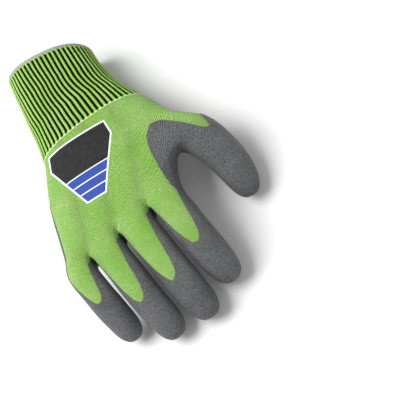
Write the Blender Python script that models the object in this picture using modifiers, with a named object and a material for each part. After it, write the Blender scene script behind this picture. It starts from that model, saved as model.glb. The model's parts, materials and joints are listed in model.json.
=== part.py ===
"""Cut-resistant knit glove for the right hand, lying palm down with its back up.

A seamless knitted liner makes the hand and the digits, a ribbed cuff closes round the wrist,
and a dipped coating covers the palm, the sides of the fingers and the fingertips. A layered
transfer label lies on the back. +Y points from the cuff to the fingertips, +X to the little
finger and +Z up, out of the back of the hand. The fabric is divided where the digits and the
wrist bend. Each division is a hinge, with a wedge of room on the side that folds.
"""

from math import cos, radians, sin

import bmesh
import bpy
from mathutils import Matrix, Vector

MM = 0.001

# Fabric
LINER_WALL = 1.2 * MM
COATING_WALL = 0.6 * MM
GAP = 0.3 * MM
COATING_GAP = 0.5 * MM
SEAM_GAP = 0.4 * MM
CAGE_SWELL = 1.08  # a subdivided ring of eight points is this much smaller than its cage

# Overall sizes
HAND_WIDTH = 104 * MM  # at the root of the thumb, the thumb left out
HAND_DEPTH = 39 * MM  # from back to palm at the same place
PALM_LENGTH = 79 * MM  # from the join to the crotches of the fingers
CUFF_LENGTH = 65 * MM  # from the rim to the join

# Knuckle line, where the fingers leave the hand
KNUCKLE_Y = CUFF_LENGTH + PALM_LENGTH
KNUCKLE_Z = 37.5 * MM
KNUCKLE_BACK = 0.359 * HAND_DEPTH
KNUCKLE_PALM = 0.346 * HAND_DEPTH
KNUCKLE_EDGE = -0.219 * HAND_WIDTH  # where the index finger's outer side lies
VALLEY_SHARE = 0.86  # thickness kept between two knuckles
EDGE_SHARE = 0.7  # thickness kept at the outer side of the index and little finger
EDGE_INSET = 1.5 * MM
WEB = 3 * MM
FINGER_SPACE = 2.5 * MM

# Each finger from thumb side to little finger: width as a share of the hand's, thickness, then
# crotch to knuckle hinge, knuckle to middle hinge, middle to tip hinge and tip hinge to
# fingertip, all in millimetres, and how much it curls beside the middle finger
FINGERS = {
    "index": (0.219, 20.0, (9.5, 17.0, 18.5, 23.0), 1.15),
    "middle": (0.219, 20.0, (10.0, 19.0, 21.5, 26.5), 1.0),
    "ring": (0.208, 19.5, (9.5, 18.5, 20.5, 24.5), 1.07),
    "little": (0.185, 17.5, (8.5, 14.5, 15.0, 18.5), 1.48),
}
# Slope of a finger below the horizontal at its crotch, its three hinges and its tip
FINGER_SLOPES = (5, 8, 18, 30, 38)
FINGER_HINGES = ("base", "middle", "tip")
FLEX = {"base": (-20, 60), "middle": (-15, 60), "tip": (-10, 35)}
# Rings that round a fingertip: distance past the fingertip and share of the finger's section
TIP_RINGS = ((-6 * MM, 0.92), (0.8 * MM, 0.52))
TIP_HINGE_SHARE = 0.98
TIP_DOME = 1 * MM
CORNER_PULL = 0.74  # rounds a digit's section

# Thumb, from the side of the palm to its tip: offset of each ring's middle from the root in
# millimetres, width and thickness as shares of the root's
THUMB_ROOT = (-0.471 * HAND_WIDTH, CUFF_LENGTH + 0.608 * PALM_LENGTH, 29 * MM)
THUMB_WIDTH = 29 * MM
THUMB_THICKNESS = 27 * MM
THUMB_RINGS = (
    ((0, 0, 0), 1.0, 1.0),
    ((-5, 12.5, -4.5), 0.914, 0.852),
    ((-7, 31.5, -11.5), 0.845, 0.759),
    ((-5.5, 44.5, -15.5), 0.741, 0.648),
    ((-4, 54, -19), 0.414, 0.370),
)
THUMB_HINGES = {"base": 1, "tip": 2}  # rings that the thumb's hinges lie in
THUMB_FLEX = {"base": (-25, 35), "tip": (-10, 55)}
THUMB_ROLL = 35  # the back of the thumb faces this many degrees outwards

# Where a hinge lies under the middle of its digit, as a share of the half thickness
HINGE_DEPTH = 0.3
FOLD_ROOM = 3  # degrees left open when a hinge is at its limit

# Sections from the fingers back to the join, then from the join to the rim: share of the
# palm's or the cuff's length, middle across and half width as shares of the hand's width,
# height in millimetres, depth to the back and to the palm as shares of the hand's, turn
PALM_SECTIONS = (
    (0.873, 0.194, 0.456, 36.5, 0.410, 0.372, 0),
    (0.734, 0.150, 0.473, 35.4, 0.449, 0.410, 0),
    (0.557, 0.099, 0.490, 34.0, 0.474, 0.474, 0),
    (0.367, 0.043, 0.500, 32.4, 0.487, 0.513, -1),
    (0.177, 0.031, 0.450, 30.9, 0.482, 0.487, -3),
    (0, 0.008, 0.383, 29.4, 0.474, 0.449, -5),
)
CUFF_SECTIONS = (
    (0.689, 0.035, 0.332, 26.4, 0.487, 0.462, -8),
    (0.344, 0.033, 0.300, 23.6, 0.545, 0.500, -13),
    (0, 0.010, 0.290, 21.0, 0.620, 0.526, -16),
)
SECTION_POWER = 2.3  # 2 is an ellipse, more is squarer
CORNER_SHARE = 0.9  # how far towards the side edge a section's outer corners lie
THUMB_ROWS = (3, 2, 1)  # sections between which the thumb leaves, from wrist to fingers

# Cuff
JOIN_WIDTH = 1.6 * MM
WRIST_HINGE_SHARE = 0.689  # of the cuff's length, from the rim
WRIST_FLEX = (-25, 25)
HEM_WIDTH = 3.2 * MM
HEM_PROUD = 0.6 * MM
HEM_FLAT = 0.8 * MM  # depth of the flat that the hem rests on
COATED_CUFF = 0.164 * CUFF_LENGTH  # how far the palm's coating runs on over the ribs

# Transfer label on the back of the hand
LABEL_MIDDLE = (0.168 * HAND_WIDTH, CUFF_LENGTH + 0.386 * PALM_LENGTH)
LABEL_TURN = -12
LABEL_HEIGHT = 0.633 * PALM_LENGTH
LABEL_WIDTH = 0.481 * HAND_WIDTH
LABEL_TOP_WIDTH = 0.92 * LABEL_WIDTH
LABEL_TIP_WIDTH = 0.3 * LABEL_WIDTH
LABEL_SHOULDER = 0.24 * LABEL_HEIGHT  # from the top edge to the widest place
LABEL_BORDER = 1.6 * MM
LABEL_LAYER = 0.35 * MM
LABEL_SLOPE = 0.5  # least upward part of the normal of a face that can carry the label
BAND_COUNT = 3
BAND_HEIGHT = 0.124 * LABEL_HEIGHT
BAND_LINE = 1.2 * MM

DIGITS = list(FINGERS) + ["thumb"]
COATED = len(DIGITS) + 1  # added to a face's region number where it is coated


def clear_scene():
    for item in list(bpy.data.objects):
        bpy.data.objects.remove(item, do_unlink=True)


def collection(name):
    found = bpy.data.collections.new(name)
    bpy.context.scene.collection.children.link(found)
    return found


def principled(name, color, roughness):
    material = bpy.data.materials.new(name)
    material.use_nodes = True
    shader = material.node_tree.nodes["Principled BSDF"]
    shader.inputs["Base Color"].default_value = (*color, 1)
    shader.inputs["Roughness"].default_value = roughness
    shader.inputs["Metallic"].default_value = 0
    return material


# ---------------------------------------------------------------- digits


class Station:
    """A place along a digit: its middle, the way it points, and its back and side directions."""

    def __init__(self, middle, along, back):
        self.middle = Vector(middle)
        self.along = Vector(along).normalized()
        self.back = (Vector(back) - Vector(back).project(self.along)).normalized()
        self.side = self.along.cross(self.back)


def finger_sides(name):
    """Where a finger's two sides lie across the hand."""
    low = KNUCKLE_EDGE
    for other, (share, *_) in FINGERS.items():
        high = low + share * HAND_WIDTH
        if other == name:
            return low, high
        low = high + FINGER_SPACE


def finger_stations(name):
    """(station, half width, half thickness) of each cage ring, from the knuckle hinge on."""
    _, thickness, lengths, curl = FINGERS[name]
    low, high = finger_sides(name)
    knots = [0]
    for length in lengths:
        knots.append(knots[-1] + length * MM)
    slopes = [radians(slope * curl) for slope in FINGER_SLOPES]

    def slope_at(s):
        for i in range(len(lengths)):
            if s <= knots[i + 1] or i == len(lengths) - 1:
                share = (s - knots[i]) / (knots[i + 1] - knots[i])
                return slopes[i] + (slopes[i + 1] - slopes[i]) * share

    def middle_at(s):
        steps = 40
        y, z = KNUCKLE_Y, KNUCKLE_Z
        for i in range(steps):
            slope = slope_at(s * (i + 0.5) / steps)
            y += cos(slope) * s / steps
            z -= sin(slope) * s / steps
        return Vector(((low + high) / 2, y, z))

    half = ((high - low) / 2 * CAGE_SWELL, thickness * MM / 2 * CAGE_SWELL)
    places = [(knots[1], 1), (knots[2], 1), (knots[3], TIP_HINGE_SHARE)]
    places += [(knots[-1] + past, share) for past, share in TIP_RINGS]
    rings = []
    for s, share in places:
        slope = slope_at(s)
        station = Station(middle_at(s), (0, cos(slope), -sin(slope)), (0, sin(slope), cos(slope)))
        rings.append((station, half[0] * share, half[1] * share))
    return rings


def thumb_stations():
    rings = []
    middles = [Vector(THUMB_ROOT) + Vector(ring[0]) * MM for ring in THUMB_RINGS]
    for i, (_, wide, thick) in enumerate(THUMB_RINGS):
        before = middles[max(i - 1, 0)]
        after = middles[min(i + 1, len(middles) - 1)]
        along = (after - before).normalized()
        roll = Matrix.Rotation(radians(-THUMB_ROLL), 3, along)
        station = Station(middles[i], along, roll @ Vector((0, 0, 1)))
        half_width = wide * THUMB_WIDTH / 2 * CAGE_SWELL
        half_thickness = thick * THUMB_THICKNESS / 2 * CAGE_SWELL
        rings.append((station, half_width, half_thickness))
    return rings


def hinges():
    """Each digit's hinges in order: (name, station, half thickness, flex range)."""
    found = {}
    for name in FINGERS:
        rings = finger_stations(name)
        found[name] = [
            (joint, rings[i][0], rings[i][2] / CAGE_SWELL, FLEX[joint])
            for i, joint in enumerate(FINGER_HINGES)
        ]
    rings = thumb_stations()
    found["thumb"] = [
        (joint, rings[ring][0], rings[ring][2] / CAGE_SWELL, THUMB_FLEX[joint])
        for joint, ring in THUMB_HINGES.items()
    ]
    return found


# ---------------------------------------------------------------- glove surface


class Section:
    """A ring of the hand or the cuff, y metres from the rim."""

    def __init__(self, y, middle, half_width, height, back, palm, turn):
        self.middle = Vector((middle * HAND_WIDTH, y, height * MM))
        self.half_width = half_width * HAND_WIDTH
        self.back = back * HAND_DEPTH
        self.palm = palm * HAND_DEPTH
        self.turn = turn

    def point(self, across, level):
        """across runs from -1 at the thumb side to 1, and level is -1 at the palm, 0 or 1."""
        share = across * (CORNER_SHARE if level else 1)
        rise = 0
        if level:
            depth = self.back if level > 0 else -self.palm
            rise = (1 - abs(share) ** SECTION_POWER) ** (1 / SECTION_POWER) * depth
        turned = Matrix.Rotation(radians(self.turn), 3, "Z") @ Vector((share, 0, 0))
        return self.middle + turned * self.half_width + Vector((0, 0, rise))


SECTIONS = [Section(CUFF_LENGTH + row[0] * PALM_LENGTH, *row[1:]) for row in PALM_SECTIONS]
SECTIONS += [Section(row[0] * CUFF_LENGTH, *row[1:]) for row in CUFF_SECTIONS]


def knuckle_columns():
    """Where the columns of the knuckle line lie across the hand: three to a finger."""
    columns = []
    names = list(FINGERS)
    for i, name in enumerate(names):
        low, high = finger_sides(name)
        if i > 0:
            low += (WEB - FINGER_SPACE) / 2
        if i < len(names) - 1:
            high -= (WEB - FINGER_SPACE) / 2
        columns += [low, (low + high) / 2, high]
    return columns


def extruded(cage, block, edges=None):
    """The copy of a block of corners after its faces, or its edges, are extruded in place."""
    if edges is None:
        faces = [f for f in cage.faces if all(v in block.values() for v in f.verts)]
        result = bmesh.ops.extrude_face_region(cage, geom=faces)
    else:
        result = bmesh.ops.extrude_edge_only(cage, edges=edges)
    made = {tuple(v.co): v for v in result["geom"] if isinstance(v, bmesh.types.BMVert)}
    copy = {key: made[tuple(corner.co)] for key, corner in block.items()}
    if edges is None:
        bmesh.ops.delete(cage, geom=faces, context="FACES")
    return copy


def shape_ring(block, station, half_width, half_thickness, dome=0):
    """Moves a block of three by three corners onto a digit's oval section."""
    for (i, k), corner in block.items():
        a, b = i - 1, k - 1
        pull = CORNER_PULL if a and b else 1
        corner.co = (
            station.middle
            + station.side * a * pull * half_width
            + station.back * b * pull * half_thickness
        )
        if not a and not b:
            corner.co += station.along * dome


def glove_cage():
    """The coarse glove: a knuckle grid, hand and cuff rings behind it, digits before it.

    Each corner's address is (digit, ring, i, k), from which each face gets its region.
    """
    cage = bmesh.new()
    columns = knuckle_columns()
    count = len(columns)
    bmesh.ops.create_grid(cage, x_segments=count - 1, y_segments=2, size=1)
    order = sorted(cage.verts, key=lambda v: (round(v.co.x, 4), round(v.co.y, 4)))
    grid = {(n // 3, n % 3): corner for n, corner in enumerate(order)}
    address = {}
    for (i, k), corner in grid.items():
        share = VALLEY_SHARE if i % 3 != 1 else 1
        x = columns[i]
        if i in (0, count - 1) and k != 1:
            share = EDGE_SHARE
            x += EDGE_INSET if i == 0 else -EDGE_INSET
        rise = (-KNUCKLE_PALM, 0, KNUCKLE_BACK)[k] * share
        corner.co = (x, KNUCKLE_Y, KNUCKLE_Z + rise)
        address[corner] = (0, 0, i, k)
    bmesh.ops.recalc_face_normals(cage, faces=cage.faces)
    if sum(f.normal.y for f in cage.faces) < 0:
        bmesh.ops.reverse_faces(cage, faces=cage.faces)

    rim = {key: v for key, v in grid.items() if key[0] in (0, count - 1) or key[1] != 1}
    rows = [rim]
    low, high = columns[0], columns[-1]
    for n, section in enumerate(SECTIONS):
        ring = rows[-1]
        corners = set(ring.values())
        edges = [e for e in cage.edges if len(e.link_faces) == 1 and set(e.verts) <= corners]
        new = extruded(cage, ring, edges)
        for (i, k), corner in new.items():
            across = (columns[i] - low) / (high - low) * 2 - 1
            corner.co = section.point(across, k - 1)
            address[corner] = (0, -n - 1, i, k)
        rows.append(new)

    for digit, name in enumerate(DIGITS, 1):
        if name == "thumb":
            block = {(i, k): rows[THUMB_ROWS[i] + 1][0, k] for i in range(3) for k in range(3)}
            rings = thumb_stations()
        else:
            first = (digit - 1) * 3
            block = {(i, k): grid[first + i, k] for i in range(3) for k in range(3)}
            rings = finger_stations(name)
        for n, (station, half_width, half_thickness) in enumerate(rings, 1):
            block = extruded(cage, block)
            dome = TIP_DOME if n == len(rings) else 0
            shape_ring(block, station, half_width, half_thickness, dome)
            for (i, k), corner in block.items():
                address[corner] = (digit, n, i, k)

    for face in cage.faces:
        face.material_index = face_region([address[corner] for corner in face.verts])
    bmesh.ops.recalc_face_normals(cage, faces=cage.faces)
    return cage


def face_region(addresses):
    """A face's digit, or 0 for the hand, plus COATED where the dip reached it."""
    digit = max(address[0] for address in addresses)
    own = [address for address in addresses if address[0] == digit]
    ring = max(address[1] for address in own)
    levels = [address[3] for address in addresses]
    on_back = min(levels) == 2
    if digit == 0:
        on_palm = sum(levels) <= 2
        past_knuckles = ring == 0 == min(address[1] for address in own)
        thumb_web = min(address[1] for address in own) >= -2
        thumb_web = thumb_web and all(address[2] == 0 for address in own)
        coated = on_palm or past_knuckles or thumb_web
    elif DIGITS[digit - 1] == "thumb":
        outer = max(address[2] for address in own) < 2
        coated = not (on_back and outer and ring <= 2)
    else:
        coated = not (on_back and ring <= 3)
    return digit + COATED * coated


def glove_surface(swell):
    """The subdivided outside of the knit as a bmesh, moved outwards by swell."""
    cage = glove_cage()
    mesh = bpy.data.meshes.new("glove_surface")
    cage.to_mesh(mesh)
    cage.free()
    for _ in range(2 * COATED):
        mesh.materials.append(None)
    guide = bpy.data.objects.new("glove_surface", mesh)
    bpy.context.scene.collection.objects.link(guide)
    smooth = guide.modifiers.new("smooth", "SUBSURF")
    smooth.levels = smooth.render_levels = 1
    graph = bpy.context.evaluated_depsgraph_get()
    surface = bmesh.new()
    surface.from_mesh(guide.evaluated_get(graph).to_mesh())
    bpy.data.objects.remove(guide, do_unlink=True)
    surface.normal_update()
    normals = {corner: corner.normal.copy() for corner in surface.verts}
    for corner, normal in normals.items():
        corner.co += normal * swell
    return surface


# ---------------------------------------------------------------- cutting


def keep_side(surface, faces, point, normal):
    """Cuts these faces at a plane and drops what lies on the side its normal points to."""
    geom = set(faces)
    for face in faces:
        geom.update(face.edges)
        geom.update(face.verts)
    bmesh.ops.bisect_plane(
        surface,
        geom=list(geom),
        dist=1e-7,
        plane_co=point,
        plane_no=normal,
        clear_outer=True,
    )


def fold_planes(station, half_thickness, flex, before):
    """The two planes that give a fold its room, as (point, normal) with the normal outwards."""
    pivot = hinge_point(station, half_thickness)
    palm = radians((flex[1] + FOLD_ROOM) / 2)
    back = radians((-flex[0] + FOLD_ROOM) / 2)
    way = 1 if before else -1
    planes = []
    for angle, side in ((palm, -1), (back, 1)):
        normal = station.along * way * cos(angle) + station.back * side * sin(angle)
        planes.append((pivot - normal * SEAM_GAP / 2, normal))
    return planes


def hinge_point(station, half_thickness):
    return station.middle - station.back * half_thickness * HINGE_DEPTH


def region_faces(surface, digit, coated_only):
    wanted = [digit + COATED] if coated_only else [digit, digit + COATED]
    return [face for face in surface.faces if face.material_index in wanted]


def drop_other_faces(surface, kept):
    kept = set(kept)
    dropped = [face for face in surface.faces if face not in kept]
    bmesh.ops.delete(surface, geom=dropped, context="FACES")


def drop_loose(surface):
    loose = [corner for corner in surface.verts if not corner.link_faces]
    bmesh.ops.delete(surface, geom=loose, context="VERTS")


def shell_object(name, surface, wall, material, parts, offset=-1):
    """An open surface made an object, with its wall given by Solidify."""
    drop_loose(surface)
    for face in surface.faces:
        face.material_index = 0
        face.smooth = True
    mesh = bpy.data.meshes.new(name)
    surface.to_mesh(mesh)
    surface.free()
    mesh.materials.append(material)
    shell = bpy.data.objects.new(name, mesh)
    parts.objects.link(shell)
    thick = shell.modifiers.new("wall", "SOLIDIFY")
    thick.thickness = wall
    thick.offset = offset
    thick.use_even_offset = False
    return shell


def digit_piece(name, digit, number, coated, swell, wall, material, parts):
    """One length of a digit, between two of its hinges or from the last one to its tip."""
    surface = glove_surface(swell)
    drop_other_faces(surface, region_faces(surface, digit, coated))
    joints = hinges()[DIGITS[digit - 1]]
    _, station, half_thickness, flex = joints[number]
    for point, normal in fold_planes(station, half_thickness, flex, before=False):
        keep_side(surface, surface.faces[:], point, normal)
    if number + 1 < len(joints):
        _, station, half_thickness, flex = joints[number + 1]
        for point, normal in fold_planes(station, half_thickness, flex, before=True):
            keep_side(surface, surface.faces[:], point, normal)
    return shell_object(name, surface, wall, material, parts)


def hand_surface(coated, swell):
    """The hand with the stubs of its digits, as far as their first hinges."""
    surface = glove_surface(swell)
    wanted = []
    for region in range(len(DIGITS) + 1):
        wanted += region_faces(surface, region, coated)
    drop_other_faces(surface, wanted)
    for digit, name in enumerate(DIGITS, 1):
        _, station, half_thickness, flex = hinges()[name][0]
        for point, normal in fold_planes(station, half_thickness, flex, before=True):
            keep_side(surface, region_faces(surface, digit, coated), point, normal)
    return surface


def cut_cuff(surface, low, high):
    """Keeps what lies between two distances from the rim, by the turned sections of the cuff."""
    for place, way in ((low, -1), (high, 1)):
        if place is not None:
            point, normal = cuff_plane(place)
            keep_side(surface, surface.faces[:], point, normal * way)


def cuff_plane(place):
    """The plane across the cuff at a distance from the rim: (point, normal to the fingers)."""
    cuff = SECTIONS[-len(CUFF_SECTIONS) - 1 :][::-1]
    for before, after in zip(cuff, cuff[1:]):
        if place <= after.middle.y:
            break
    share = (place - before.middle.y) / (after.middle.y - before.middle.y)
    turn = before.turn + (after.turn - before.turn) * share
    normal = Matrix.Rotation(radians(turn), 3, "Z") @ Vector((0, 1, 0))
    return before.middle.lerp(after.middle, share), normal


# ---------------------------------------------------------------- label


def label_outline(inset):
    """The label's corners about its middle, anticlockwise, with its edges moved in by inset."""
    top, bottom = -LABEL_HEIGHT / 2, LABEL_HEIGHT / 2
    corners = [
        Vector((-LABEL_TOP_WIDTH / 2, top)),
        Vector((LABEL_TOP_WIDTH / 2, top)),
        Vector((LABEL_WIDTH / 2, top + LABEL_SHOULDER)),
        Vector((LABEL_TIP_WIDTH / 2, bottom)),
        Vector((-LABEL_TIP_WIDTH / 2, bottom)),
        Vector((-LABEL_WIDTH / 2, top + LABEL_SHOULDER)),
    ]
    edges = []
    for start, end in zip(corners, corners[1:] + corners[:1]):
        run = (end - start).normalized()
        outwards = Vector((run.y, -run.x))
        edges.append((start - outwards * inset, outwards))
    return edges


def label_layer(name, edges, level, material, parts):
    """A thin layer that follows the back of the hand inside an outline of straight edges."""
    lift = GAP + (GAP + LABEL_LAYER) * level
    surface = glove_surface(lift + LABEL_LAYER)
    flat = [
        face
        for face in region_faces(surface, 0, False)
        if face.normal.z > LABEL_SLOPE and face.calc_center_median().y > CUFF_LENGTH / 2
    ]
    drop_other_faces(surface, flat)
    turn = Matrix.Rotation(radians(LABEL_TURN), 2)
    middle = Vector(LABEL_MIDDLE)
    for point, outwards in edges:
        point = turn @ point + middle
        outwards = turn @ outwards
        keep_side(surface, surface.faces[:], (*point, 0), (*outwards, 0))
    return shell_object(name, surface, LABEL_LAYER, material, parts)


def make_label(parts):
    white = principled("label white", (0.85, 0.86, 0.88), 0.45)
    black = principled("label black", (0.02, 0.02, 0.025), 0.4)
    blue = principled("label blue", (0.06, 0.12, 0.5), 0.4)
    made = [label_layer("label_backing", label_outline(0), 0, white, parts)]
    inner = label_outline(LABEL_BORDER)
    bottom = LABEL_HEIGHT / 2 - LABEL_BORDER
    first_band = bottom - BAND_COUNT * BAND_HEIGHT - (BAND_COUNT - 1) * BAND_LINE
    field = inner + [(Vector((0, first_band - BAND_LINE)), Vector((0, 1)))]
    made.append(label_layer("label_field", field, 1, black, parts))
    for n in range(BAND_COUNT):
        low = first_band + n * (BAND_HEIGHT + BAND_LINE)
        band = inner + [
            (Vector((0, low)), Vector((0, -1))),
            (Vector((0, low + BAND_HEIGHT)), Vector((0, 1))),
        ]
        made.append(label_layer(f"label_band_{n + 1}", band, 1, blue, parts))
    return made


# ---------------------------------------------------------------- cuff


def make_cuff(parts, rib, thread):
    """The ribbed cuff; what swings at the wrist is returned."""
    wrist = Station(*wrist_hinge())
    fixed = glove_surface(0)
    cut_cuff(fixed, None, CUFF_LENGTH - JOIN_WIDTH / 2 - GAP / 2)
    for point, normal in fold_planes(wrist, 0, WRIST_FLEX, before=False):
        keep_side(fixed, fixed.faces[:], point, normal)
    shell_object("wrist_rib", fixed, LINER_WALL, rib, parts)

    join = glove_surface(0)
    cut_cuff(join, CUFF_LENGTH - JOIN_WIDTH / 2 + GAP / 2, CUFF_LENGTH + JOIN_WIDTH / 2 - GAP / 2)
    shell_object("join_course", join, LINER_WALL, thread, parts)

    sleeve = glove_surface(0)
    cut_cuff(sleeve, HEM_WIDTH + GAP, None)
    for point, normal in fold_planes(wrist, 0, WRIST_FLEX, before=True):
        keep_side(sleeve, sleeve.faces[:], point, normal)
    cuff_rib = shell_object("cuff_rib", sleeve, LINER_WALL, rib, parts)

    hem, cutter = make_hem(parts, thread)
    return [cuff_rib, hem, cutter]


def make_hem(parts, thread):
    """The overlocked rim: a thicker band, pressed flat where it rests."""
    band = glove_surface(HEM_PROUD)
    cut_cuff(band, None, HEM_WIDTH)
    hem = shell_object("cuff_hem", band, LINER_WALL + 2 * HEM_PROUD, thread, parts)
    low, high = bounds([hem])
    size = (high - low) * 1.2
    bpy.ops.mesh.primitive_cube_add(size=1, location=(low + high) / 2)
    cutter = bpy.context.object
    cutter.name = "rest_flat_cutter"
    cutter.scale = size
    cutter.location.z = low.z + HEM_FLAT - size.z / 2
    cutter.hide_render = True
    cutter.display_type = "WIRE"
    for holder in list(cutter.users_collection):
        holder.objects.unlink(cutter)
    collection("cutters").objects.link(cutter)
    flat = hem.modifiers.new("rest flat", "BOOLEAN")
    flat.operation = "DIFFERENCE"
    flat.solver = "EXACT"
    flat.object = cutter
    return hem, cutter


def wrist_hinge():
    """The wrist's pivot, the way the cuff runs there, and up."""
    middle, _ = cuff_plane(WRIST_HINGE_SHARE * CUFF_LENGTH)
    join, rim = cuff_plane(CUFF_LENGTH)[0], cuff_plane(0)[0]
    return middle, Vector((0, join.y - rim.y, join.z - rim.z)), Vector((0, 0, 1))


# ---------------------------------------------------------------- assembly


def bounds(items):
    """The lowest and highest corners of the evaluated meshes."""
    bpy.context.view_layer.update()
    graph = bpy.context.evaluated_depsgraph_get()
    corners = []
    for item in items:
        shape = item.evaluated_get(graph)
        corners += [shape.matrix_world @ corner.co for corner in shape.data.vertices]
    low = Vector(min(corner[axis] for corner in corners) for axis in range(3))
    high = Vector(max(corner[axis] for corner in corners) for axis in range(3))
    return low, high


def stand_on_origin(parts):
    """Moves the glove so that the middle of its underside is the origin."""
    low, high = bounds([item for item in parts.objects if item.type == "MESH"])
    shift = Vector((-(low.x + high.x) / 2, -(low.y + high.y) / 2, -low.z))
    for item in bpy.data.objects:
        if item.parent is None:
            item.location += shift


def empty_at(name, point, parts, parent=None):
    pivot = bpy.data.objects.new(name, None)
    pivot.empty_display_size = 5 * MM
    parts.objects.link(pivot)
    pivot.location = point
    if parent:
        pivot.parent = parent
        pivot.location = point - Vector(parent["place"])
    pivot["place"] = point
    return pivot


def hang(pieces, pivot):
    """Parents pieces to their pivot, with their meshes where they were."""
    for piece in pieces:
        piece.parent = pivot
        piece.location -= Vector(pivot["place"])


def build():
    clear_scene()
    parts = collection("cut_resistant_glove")
    knit = principled("lime knit", (0.32, 0.62, 0.1), 0.85)
    coating = principled("grey coating", (0.16, 0.16, 0.17), 0.55)
    rib = principled("lime and black rib", (0.28, 0.5, 0.12), 0.85)
    thread = principled("overlock thread", (0.5, 0.55, 0.45), 0.8)

    hand = hand_surface(coated=False, swell=0)
    cut_hand = CUFF_LENGTH + JOIN_WIDTH / 2 + GAP / 2
    point, normal = cuff_plane(cut_hand)
    keep_side(hand, region_faces(hand, 0, False), point, -normal)
    shell_object("hand_liner", hand, LINER_WALL, knit, parts)

    swell = COATING_GAP + COATING_WALL
    palm = hand_surface(coated=True, swell=swell)
    point, normal = cuff_plane(CUFF_LENGTH - COATED_CUFF)
    keep_side(palm, region_faces(palm, 0, True), point, -normal)
    shell_object("palm_coating", palm, COATING_WALL, coating, parts)

    make_label(parts)
    moving = make_cuff(parts, rib, thread)
    hang(moving, empty_at("wrist_pivot", wrist_hinge()[0], parts))

    for digit, name in enumerate(DIGITS, 1):
        pivot = None
        for number, (joint, station, half_thickness, _) in enumerate(hinges()[name]):
            place = hinge_point(station, half_thickness)
            pivot = empty_at(f"{name}_{joint}_pivot", place, parts, pivot)
            stem = f"{name}_{joint}"
            liner = digit_piece(f"{stem}_liner", digit, number, False, 0, LINER_WALL, knit, parts)
            dip = digit_piece(
                f"{stem}_coating", digit, number, True, swell, COATING_WALL, coating, parts
            )
            hang([liner, dip], pivot)
    stand_on_origin(parts)


build()
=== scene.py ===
"""A cut-resistant knit work glove for the right hand, palm down on a pale floor.

The order is the order of making: the knitted liner, the dip that coats it, the ribbed cuff with
its join and its overlocked hem, the transfer label, and then the floor, the light and the camera.
+Y runs from the cuff to the fingertips, +X to the little finger and +Z up.
"""

import json
from math import atan2, cos, pi, radians, sin

import bmesh
import bpy
from mathutils import Matrix, Vector, noise
from mathutils.bvhtree import BVHTree
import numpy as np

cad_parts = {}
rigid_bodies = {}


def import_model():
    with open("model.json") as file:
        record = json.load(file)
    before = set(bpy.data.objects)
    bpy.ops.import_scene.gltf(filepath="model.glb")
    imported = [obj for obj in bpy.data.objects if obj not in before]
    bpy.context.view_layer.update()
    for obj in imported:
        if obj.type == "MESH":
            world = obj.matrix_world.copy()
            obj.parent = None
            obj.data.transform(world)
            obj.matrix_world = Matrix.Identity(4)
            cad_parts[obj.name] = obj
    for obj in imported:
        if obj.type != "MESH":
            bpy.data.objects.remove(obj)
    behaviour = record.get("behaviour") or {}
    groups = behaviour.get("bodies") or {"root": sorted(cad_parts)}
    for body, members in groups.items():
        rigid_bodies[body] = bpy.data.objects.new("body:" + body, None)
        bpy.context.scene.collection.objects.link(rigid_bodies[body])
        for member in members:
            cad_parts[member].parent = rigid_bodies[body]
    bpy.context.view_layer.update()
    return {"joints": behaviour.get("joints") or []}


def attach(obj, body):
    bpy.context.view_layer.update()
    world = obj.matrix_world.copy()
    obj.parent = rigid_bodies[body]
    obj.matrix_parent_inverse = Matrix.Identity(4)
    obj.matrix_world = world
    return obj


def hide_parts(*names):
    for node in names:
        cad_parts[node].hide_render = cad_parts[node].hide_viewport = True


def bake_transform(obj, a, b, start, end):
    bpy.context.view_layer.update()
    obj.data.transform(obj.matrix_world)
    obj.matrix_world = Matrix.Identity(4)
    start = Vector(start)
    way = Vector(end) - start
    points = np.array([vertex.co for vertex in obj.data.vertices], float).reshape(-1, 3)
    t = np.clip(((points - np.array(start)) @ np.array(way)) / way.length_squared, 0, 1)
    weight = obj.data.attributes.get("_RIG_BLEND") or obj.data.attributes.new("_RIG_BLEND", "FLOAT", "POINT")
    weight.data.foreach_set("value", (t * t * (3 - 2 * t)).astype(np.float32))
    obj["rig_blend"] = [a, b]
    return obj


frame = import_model()
joints = {joint["name"]: joint for joint in frame["joints"]}

MM = 0.001

# ---------------------------------------------------------------- knitted liner
# The liner is one seamless tube of cut-resistant yarn, knitted on a glove machine from the
# fingertips to the wrist. It keeps the curve of the hand form that it was dipped on. Its rows
# and columns of stitches run across and along the hand and each digit.

HAND_WIDTH = 104 * MM
HAND_DEPTH = 39 * MM
PALM_LENGTH = 79 * MM
CUFF_LENGTH = 65 * MM
CAGE_SWELL = 1.08  # a subdivided ring of eight points is this much smaller than its cage

KNUCKLE_Y = CUFF_LENGTH + PALM_LENGTH
KNUCKLE_Z = 37.5 * MM
KNUCKLE_BACK = 0.359 * HAND_DEPTH
KNUCKLE_PALM = 0.346 * HAND_DEPTH
KNUCKLE_EDGE = -0.219 * HAND_WIDTH
VALLEY_SHARE = 0.86
EDGE_SHARE = 0.7
EDGE_INSET = 1.5 * MM
WEB = 3 * MM
FINGER_SPACE = 2.5 * MM

# Each finger: width as a share of the hand's, thickness, lengths from crotch to knuckle hinge to
# middle hinge to tip hinge to fingertip in millimetres, and its curl beside the middle finger
FINGERS = {
    "index": (0.219, 20.0, (9.5, 17.0, 18.5, 23.0), 1.15),
    "middle": (0.219, 20.0, (10.0, 19.0, 21.5, 26.5), 1.0),
    "ring": (0.208, 19.5, (9.5, 18.5, 20.5, 24.5), 1.07),
    "little": (0.185, 17.5, (8.5, 14.5, 15.0, 18.5), 1.48),
}
FINGER_SLOPES = (5, 8, 18, 30, 38)  # degrees below level at the crotch, each hinge and the tip
CURVE_STEPS = 40
TIP_RINGS = ((-6 * MM, 0.92), (0.8 * MM, 0.52))
TIP_HINGE_SHARE = 0.98
TIP_DOME = 1 * MM
CORNER_PULL = 0.74

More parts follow.
